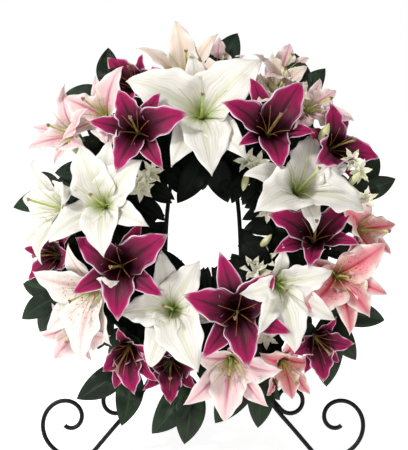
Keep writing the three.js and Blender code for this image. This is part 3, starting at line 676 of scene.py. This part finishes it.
def petal(matrix, clock, length, width, drop, flare, curl, seed, ruffle):
    """A petal's grid of points."""
    s = np.linspace(0, 1, ROWS)[:, None]
    t = np.linspace(-1, 1, COLUMNS)[None, :]
    out, up, lean = (values[:, None] for values in spine(ROWS, flare, curl))
    radius = BASE_RADIUS + out * length
    scallop = ripple(s, t, (3.5, 5.5), (0.8, 2.4), seed, 7)
    scalloped = 1 + ruffle * spread(0.03, 0.07, seed, 10) * scallop
    half = width * length * outline(s, 0.95, 1.3) * scalloped
    half = np.maximum(half, 2.5 * (1 - s) + 0.3)
    lift = petal_lift(s, t, half, radius, ruffle, seed)
    twist = math.radians(spread(-14, 14, seed, 6)) * s
    x = half * t
    side = np.array((-math.sin(clock), math.cos(clock), 0))
    way = np.array((math.cos(clock), math.sin(clock), 0))
    up_axis = np.array((0, 0, 1))
    normal = -way * np.cos(lean)[..., None] + up_axis * np.sin(lean)[..., None]
    rows = way * radius[..., None] + up_axis * (up * length)[..., None] - normal * drop
    rows = rows + side * (x * np.cos(twist) - lift * np.sin(twist))[..., None]
    rows = rows + normal * (lift * np.cos(twist) + x * np.sin(twist))[..., None]
    turn = np.array(matrix)
    return rows[:, ::-1] @ turn[:3, :3].T + turn[:3, 3]


FILAMENT_STEPS = 8
FILAMENT_RADII = np.linspace(0.9, 0.4, FILAMENT_STEPS + 1)
FILAMENT_FOOT = {"out": 2, "up": 4}
FILAMENT_BEND, FILAMENT_SAG = 0.22, 0.1
STYLE_RADII = (3.2, 3.0, 2.2, 1.6, 1.4, 1.3, 1.4, 1.7, 2.2)
STYLE_FOOT, STYLE_SHARE = 2, 0.8
LOBE_RADII = (1.0, 1.9, 1.8, 0.8)
LOBE = {"start": 0.6, "reach": 2.2, "rise": 1.2}
KNOB = {"z": (-7, -3, 2, 6), "radii": (2.6, 4.2, 4.6, 3.0)}


def stamens(piece, matrix, size, seed, cover, material):
    """Six filaments that bow outwards round the pistil."""
    for i in range(6):
        way = direction(math.radians(60 * i + 30) + spread(-0.2, 0.2, seed, i))
        bow = spread(0.2, 0.34, seed, i, 2)
        length = size * spread(0.5, 0.66, seed, i, 3)
        path = []
        for k in range(FILAMENT_STEPS + 1):
            share = k / FILAMENT_STEPS
            out = FILAMENT_FOOT["out"] + length * (bow * share + FILAMENT_BEND * share**2)
            up = FILAMENT_FOOT["up"] + length * share * (1 - FILAMENT_SAG * share)
            path.append(way * out + FORWARD * up)
        piece.tube(lay_path(path, matrix, cover), FILAMENT_RADII, material, sides=6)


def pistil(piece, matrix, size, seed, cover, material):
    """A long style with a three-lobed stigma."""
    lean = Vector((spread(-0.1, 0.1, seed, 8), spread(-0.1, 0.1, seed, 9), 0))
    length = size * STYLE_SHARE
    last = len(STYLE_RADII) - 1
    path = []
    for k in range(last + 1):
        share = k / last
        up = STYLE_FOOT + (length - STYLE_FOOT) * share
        path.append(lean * length * share**2 + FORWARD * up)
    laid = lay_path(path, matrix, cover)
    piece.tube(laid, STYLE_RADII, material, sides=8)
    top, turn = Vector(laid[-1]), matrix.to_3x3()
    up = turn @ FORWARD
    for i in range(3):
        way = turn @ direction(math.radians(120 * i + 20))
        lobe = []
        for share in np.linspace(0, 1, len(LOBE_RADII)):
            out = LOBE["start"] + LOBE["reach"] * share
            lobe.append(top + way * out + up * (LOBE["rise"] * math.sin(math.pi * share)))
        piece.tube(lobe, LOBE_RADII, STIGMA, sides=6)


def tip_settings(right, up, curl=USUAL_CURL, place=None):
    """A tip's row in full: its place from the throat, its curl and if it lies over or under."""
    return right, up, math.radians(curl), place


def lily(number, name, at, look, size, flare_degrees, tips):
    """A bloom: its petals laid among those above it, its stamens, pistil, knob and stem."""
    piece = Piece()
    kind = name.split("_")[0]
    turn = facing(*look)
    flare = math.radians(flare_degrees)
    base = seen(*at) - (turn @ FORWARD) * THROAT
    matrix = Matrix.Translation(base) @ turn.to_matrix().to_4x4()
    material = LOOKS.get(name, PETALS[kind])
    cover = widened(front)
    own = np.full_like(front, -np.inf)
    laid = []
    for group in (INNER_PETALS, OUTER_PETALS):
        width = WIDTHS[kind] * SLENDER.get(name, 1) * group["share"]
        drop, ruffle = group["drop"], group["ruffle"]
        for i in group["order"]:
            right, up, curl, place = tip_settings(*tips[i])
            clock, length = aim((at[0] + right, at[1] + up), base, turn, flare, curl, size)
            rows = petal(matrix, clock, length, width, drop, flare, curl, number * 10 + i, ruffle)
            if group is INNER_PETALS:
                mark(rows, own)
            else:
                rows = lay(rows, widened(own), "under")
            laid.append(lay(rows, cover, place))
            piece.sheet(laid[-1], PETAL_THICKNESS, material)
    for rows in laid:
        mark(rows, front)
    filament, style = (DARK_FILAMENT, DARK_STYLE) if kind == "crimson" else (FILAMENT, STYLE)
    stamens(piece, matrix, size, number, cover, filament)
    pistil(piece, matrix, size, number, cover, style)
    piece.tube([FORWARD * z for z in KNOB["z"]], KNOB["radii"], STEM_GREEN, matrix, sides=10)
    stem(piece, base, STEM_SHIFTS.get(name, 0))
    piece.object(f"{name}_bloom", [name])


for number, row in enumerate(LILIES):
    lily(number, *row)

# ---------------------------------------------------------------- florets
# Each stalk's name, its base and the mouths of its florets.
FLORET_STALKS = [
    ("left_florets", (-112, 88, 56), [(-93, 83, 88), (-78, 99, 82), (-96, 66, 80)]),
    ("top_florets", (96, 104, 54), [(66, 118, 84), (86, 112, 88), (107, 27, 74)]),
    ("right_florets", (214, 98, 48), [(244, 118, 82), (258, 98, 78), (264, 50, 96)]),
    ("inner_florets", (104, -52, 54), [(76, -58, 82), (88, -68, 86), (98, -40, 78), (101, -176, 84)]),
]
# Closed buds on the same stalks: where each starts and where its tip is.
BUDS = {
    "left_florets": [((-196, 124, 66), (-216, 146, 78))],
    "top_florets": [((106, 238, 66), (128, 216, 76)), ((70, 92, 74), (64, 66, 80))],
    "right_florets": [((184, 138, 78), (202, 174, 84)), ((232, 74, 70), (252, 96, 80))],
    "inner_florets": [((92, -24, 66), (110, -4, 74))],
}
FLORET = {"length": 24, "width": 0.2, "flare": math.radians(92), "curl": math.radians(20)}
FLORET_DEPTH, FLORET_THICKNESS = 20, 0.9
FLORET_SEED = 500
BUD_GIRTH = 0.2


def floret(piece, base, mouth, turned, seed):
    """A small open flower of six narrow petals, on its own stalk."""
    centre = seen(*mouth)
    way = (centre - base).normalized().lerp(FORWARD, 0.5).normalized()
    foot = centre - way * FLORET_DEPTH
    matrix = Matrix.Translation(foot) @ FORWARD.rotation_difference(way).to_matrix().to_4x4()
    for k in range(6):
        clock = math.radians(60 * k + turned)
        rows = petal(matrix, clock, drop=0.5 * (k % 2), seed=seed + k, ruffle=0.3, **FLORET)
        piece.sheet(rows, FLORET_THICKNESS, FLORET_WHITE)
    stalk(piece, base, foot + way * 3, 2.4, FLORET_WHITE)


def bud(piece, root, start, end):
    """A closed bud on its own stalk."""
    stalk(piece, root, start, 2.2, STEM_GREEN)
    shares = np.linspace(0, 1, 10)
    radii = np.maximum((end - start).length * BUD_GIRTH * outline(shares, 0.5, 0.7), 0.6)
    piece.tube([start.lerp(end, share) for share in shares], radii, BUD, sides=12)


for number, (name, at, mouths) in enumerate(FLORET_STALKS):
    piece = Piece()
    base = seen(*at)
    for i, mouth in enumerate(mouths):
        floret(piece, base, mouth, 11 * i, FLORET_SEED + number * 20 + i * 6)
    for start, end in BUDS[name]:
        bud(piece, base, seen(*start), seen(*end))
    stem(piece, base, start_radius=2.6)
    piece.object(f"{name}_stalk", [name])

# ---------------------------------------------------------------- leaves
# Each sprig's name, its base, its leaves' tips and how far its stem turns aside.
SPRIGS = [
    ("left_leaves", (-222, 62, 40), [(-304, 40, 44), (-262, 96, 20)], 0),
    ("lower_left_leaves", (-214, -100, 38), [(-290, -139, 30), (-291, -82, 20), (-262, -160, 10)], 0),
    ("upper_left_leaves", (-140, 214, 38), [(-152, 296, 30), (-222, 222, 16)], 0),
    ("top_leaves", (-2, 236, 34), [(-32, 315, 30), (56, 321, 26)], 0),
    ("upper_right_leaves", (150, 190, 36), [(149, 290, 28), (196, 262, 40)], 0),
    ("right_leaves", (226, 64, 36), [(309, 86, 40), (283, 118, 24)], -8),
    ("lower_right_leaves", (200, -128, 38), [(291, -141, 30), (245, -205, 40), (198, -248, 30)], 0),
    ("lower_leaves", (90, -214, 36), [(88, -314, 34), (19, -307, 30), (123, -269, 40)], 0),
    ("bottom_leaves", (-24, -226, 40), [(-30, -340, 34), (-82, -323, 30)], 0),
    ("bottom_left_leaves", (-118, -208, 30), [(-202, -267, 40), (-130, -310, 42)], 6),
]
INNER_SPRIGS = [("inner_top_leaves", 90), ("inner_left_leaves", 205), ("inner_right_leaves", 325)]
INNER_ROOT = {"radius": 134, "z": 60}
INNER_FAN = [(-42, 62, 40), (0, 66, 48), (42, 62, 56)]


def round_face(radius, clock, z):
    """The point at a radius and clock angle, in degrees, round the ring."""
    return (radius * math.cos(math.radians(clock)), radius * math.sin(math.radians(clock)), z)


for name, clock in INNER_SPRIGS:
    tips = [round_face(radius, clock + turn, z) for turn, radius, z in INNER_FAN]
    SPRIGS.append((name, round_face(INNER_ROOT["radius"], clock, INNER_ROOT["z"]), tips, 0))

LEAF_WIDTH = 0.22
LEAF_THICKNESS = 0.8
LEAF_BOW = 0.12
SPRIG_SEED, PINNED_SEED = 900, 1200
flowers = widened(front)


def leaf(piece, start, end, width, material, seed, rows=18, columns=7):
    """A leaf from start to end: bowed off its chord, folded along its midrib, waved and
    drooping a little, and laid under the flowers."""
    chord = end - start
    length = chord.length
    way = chord.normalized()
    side = FORWARD.cross(way).normalized()
    normal = way.cross(side)
    s = np.linspace(0, 1, rows)[:, None]
    t = np.linspace(-1, 1, columns)[None, :]
    half = np.maximum(width * length * outline(s, 0.8, 0.9), 1.2 * (1 - s) + 0.2)
    fold = spread(0.15, 0.4, seed, 1)
    wave = np.sin(2 * math.pi * (1.6 * s + chance(seed, 3)) + 1.5 * np.sign(t)) * t**2
    wave = spread(0.4, 1.6, seed, 2) * wave * np.sin(math.pi * s)
    droop = -spread(0.0, 0.12, seed, 4) * length * s**2
    rise = 4 * s * (1 - s) * LEAF_BOW * length + droop + fold * half * np.abs(t) + wave
    sway = spread(-0.08, 0.08, seed, 5) * length * s * (1 - s) * 4
    centre = np.array(start) + np.array(chord) * s[..., None]
    grid = centre + np.array(side) * (half * t + sway)[..., None] + np.array(normal) * rise[..., None]
    piece.sheet(lay(grid[:, ::-1], flowers, "under"), LEAF_THICKNESS, material)


for number, (name, at, tips, shift) in enumerate(SPRIGS):
    piece = Piece()
    base = seen(*at)
    # The leaves in the ring's hole get the copy with painted shade.
    material = PAINTED_SHADE_LEAF if name.startswith("inner") else LEAF
    for i, tip in enumerate(tips):
        leaf(piece, base, seen(*tip), LEAF_WIDTH, material, SPRIG_SEED + number * 10 + i)
    stem(piece, base, shift)
    piece.object(f"{name}_sprig", [name])

# ---------------------------------------------------------------- ring
RING_STEPS = 96
CROWN_FOOT, CROWN_STEPS = 40, 18
PIN_HEIGHT = 46


def lathe(piece, profile, material):
    """A ring of revolution about the face's z axis from a closed profile of radius, height."""
    profile = np.array(profile, float)
    angle = np.linspace(0, 2 * math.pi, RING_STEPS, endpoint=False)
    radius, height = profile[:, 0], profile[:, 1]
    heights = np.tile(height, (RING_STEPS, 1))
    points = np.stack([np.outer(np.cos(angle), radius), np.outer(np.sin(angle), radius), heights], axis=2)
    index = np.arange(RING_STEPS * len(profile)).reshape(RING_STEPS, -1)
    after, below = np.roll(index, -1, axis=0), np.roll(index, -1, axis=1)
    faces = np.stack([index, after, np.roll(after, -1, axis=1), below], axis=2).reshape(-1, 4)
    uv = np.zeros((RING_STEPS * len(profile), 2))
    piece.add(points.reshape(-1, 3), faces, uv, material)


tray = Piece()
inside, outside = RING_INNER + TRAY_WALL, RING_OUTER - TRAY_WALL
lathe(tray, [
    (RING_INNER, 0), (RING_OUTER, 0), (RING_OUTER, TRAY_HEIGHT), (outside, TRAY_HEIGHT),
    (outside, TRAY_WALL), (inside, TRAY_WALL), (inside, TRAY_HEIGHT), (RING_INNER, TRAY_HEIGHT),
], TRAY)
bevelled(tray.object("ring_tray_shell", ["ring_tray"]), sharp_from=40)

foam = Piece()
inner, outer = inside + GAP, outside - GAP
middle, reach = (inner + outer) / 2, (outer - inner) / 2
crown = []
for i in range(CROWN_STEPS + 1):
    angle = math.pi * i / CROWN_STEPS
    height = CROWN_FOOT + (FOAM_HEIGHT - CROWN_FOOT) * math.sin(angle)
    crown.append((middle + reach * math.cos(angle), height))
lathe(foam, [(inner, TRAY_WALL + GAP), (outer, TRAY_WALL + GAP), *crown], FOAM)
# Leaves pinned all over the foam: rows of start and end radii, the heights of their tips, how
# far a leaf may turn from straight out, how many there are, and what they are made of.
PINNED = [
    {"start": (112, 200), "end": (100, 226), "z": (50, 62), "turn": 26, "count": 110, "width": 0.22},
    {"start": (112, 120), "end": (54, 80), "z": (26, 56), "turn": 14, "count": 84, "width": 0.2},
    {"start": (190, 200), "end": (228, 256), "z": (14, 44), "turn": 12, "count": 72, "width": 0.24},
]
# The two inner rows, on the foam under the flowers and in the hole, get the copy with painted shade. The
# outer row gets the plain leaf.
PINNED_MATERIALS = (PAINTED_SHADE_LEAF, PAINTED_SHADE_LEAF, LEAF)
for row, (pinned, material) in enumerate(zip(PINNED, PINNED_MATERIALS)):
    for i in range(pinned["count"]):
        clock = 360 * (i + spread(0, 0.9, i, row, 21)) / pinned["count"]
        start_radius = spread(*pinned["start"], i, row, 22)
        start = Vector(round_face(start_radius, clock, PIN_HEIGHT))
        turn = spread(-pinned["turn"], pinned["turn"], i, row, 23)
        end_radius = spread(*pinned["end"], i, row, 24)
        end = Vector(round_face(end_radius, clock + turn, spread(*pinned["z"], i, row, 25)))
        seed = PINNED_SEED + 200 * row + i
        leaf(foam, start, end, pinned["width"], material, seed, rows=12, columns=5)
foam.object("foam_and_moss_leaves", ["ring_foam"])

# ---------------------------------------------------------------- easel
FOOT_SCROLL = {"x": 212, "y": -297, "radius": 58, "shrink": 0.23, "from": -0.55, "to": 6.9, "steps": 90}
SMALL_SCROLL = {"x": 138, "y": -268, "radius": 20, "shrink": 0, "from": -0.95, "to": 4.4, "steps": 40}
LEG_LINE = [
    (4.5, 212), (24, 180), (45, 118), (57, 36), (61, -50),
    (64, -120), (70, -180), (84, -232), (112, -276), (146, -316),
]
SMALL_SCROLL_ROOT = (106, -262)


def scroll_points(scroll, side):
    """A scroll's centre line. Angle 0 is its lowest point, from where it rises outwards."""
    points = []
    for angle in np.linspace(scroll["from"], scroll["to"], scroll["steps"] + 1):
        radius = scroll["radius"] * math.exp(-scroll["shrink"] * angle)
        x = side * (scroll["x"] + radius * math.sin(angle))
        points.append(Vector((x, scroll["y"] - radius * math.cos(angle), BAR_PLANE)))
    return points


def smooth(points, steps):
    """A Catmull-Rom curve through points."""
    points = [points[0] * 2 - points[1], *points, points[-1] * 2 - points[-2]]
    line = []
    for before, a, b, after in zip(points, points[1:], points[2:], points[3:]):
        for k in range(steps):
            t = k / steps
            square = (2 * before - 5 * a + 4 * b - after) * t**2
            cube = (3 * a - before - 3 * b + after) * t**3
            line.append(0.5 * (2 * a + (b - before) * t + square + cube))
    return [*line, points[-2]]


def bar(name, node, path):
    """A round iron bar along a path in the easel's own plane."""
    piece = Piece()
    piece.tube(path, BAR, IRON, sides=16, across=(0, 0, 1))
    piece.object(name, [node])


for name, side in (("left", -1), ("right", 1)):
    scroll = scroll_points(FOOT_SCROLL, side)
    upper = [Vector((side * x, y, BAR_PLANE)) for x, y in LEG_LINE]
    bar(f"{name}_leg_bar", f"{name}_leg", [*smooth([*upper, scroll[0]], 10)[:-1], *scroll])
    x, y = SMALL_SCROLL_ROOT
    small = [Vector((side * x, y, BAR_PLANE)), *scroll_points(SMALL_SCROLL, side)]
    bar(f"{name}_small_scroll_bar", f"{name}_small_scroll", small)
for name in ("upper_cross_bar", "lower_cross_bar", "left_ledge_hook", "right_ledge_hook", "rear_leg"):
    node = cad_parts[name]
    node.data.materials.clear()
    node.data.materials.append(IRON)
    bevelled(node)

# ---------------------------------------------------------------- stage
# The background and the floor are white. The sky lights the wreath with only a share of
# what the camera sees, and the floor shines a little by itself.
SKY_LIGHT = 0.38
FLOOR_GLOW = 0.7
FLOOR_REACH = 6
corners = [(x * FLOOR_REACH, y * FLOOR_REACH, 0) for x, y in ((-1, -1), (1, -1), (1, 1), (-1, 1))]
floor_mesh = bpy.data.meshes.new("floor")
floor_mesh.from_pydata(corners, [], [(0, 1, 2, 3)])
floor = bpy.data.objects.new("floor", floor_mesh)
bpy.context.scene.collection.objects.link(floor)
paper = Shader("paper", roughness=0.9, specular=0.1)
paper.colour((1, 1, 1, 1))
paper.bsdf.inputs["Emission Color"].default_value = (1, 1, 1, 1)
paper.bsdf.inputs["Emission Strength"].default_value = FLOOR_GLOW
floor_mesh.materials.append(paper.material)

world = bpy.data.worlds.new("studio")
bpy.context.scene.world = world
world.use_nodes = True
sky = world.node_tree.nodes["Background"]
sky.inputs["Color"].default_value = (1, 1, 1, 1)
seen_directly = world.node_tree.nodes.new("ShaderNodeLightPath").outputs["Is Camera Ray"]
strength = world.node_tree.nodes.new("ShaderNodeMapRange")
strength.inputs["To Min"].default_value = SKY_LIGHT
strength.inputs["To Max"].default_value = 1.0
world.node_tree.links.new(seen_directly, strength.inputs["Value"])
world.node_tree.links.new(strength.outputs[0], sky.inputs["Strength"])

LAMPS = [("key", (-1.6, -1.5, 2.3), 0.35, 66), ("fill", (1.8, -2.0, 1.1), 1.4, 6)]
LAMP_TARGET = Vector((0, 0, 0.35))


def lamp(name, place, size, watts):
    """A round lamp at a place, pointed at the wreath."""
    light = bpy.data.lights.new(name, "AREA")
    light.shape = "DISK"
    light.size = size
    light.energy = watts
    made = bpy.data.objects.new(name, light)
    made.location = place
    made.rotation_mode = "QUATERNION"
    made.rotation_quaternion = (LAMP_TARGET - Vector(place)).to_track_quat("-Z", "Y")
    bpy.context.scene.collection.objects.link(made)


for settings in LAMPS:
    lamp(*settings)

LOOK_AT = (1.6, 11.2, 0)
camera_data = bpy.data.cameras.new("camera")
camera_data.lens = 115
camera = bpy.data.objects.new("camera", camera_data)
bpy.context.scene.collection.objects.link(camera)
bpy.context.scene.camera = camera
eye = FACE @ EYE
look_at = FACE @ seen(*LOOK_AT)
camera.location = eye
camera.rotation_mode = "QUATERNION"
camera.rotation_quaternion = (look_at - eye).to_track_quat("-Z", "Y")
bpy.context.scene.view_settings.view_transform = "Standard"
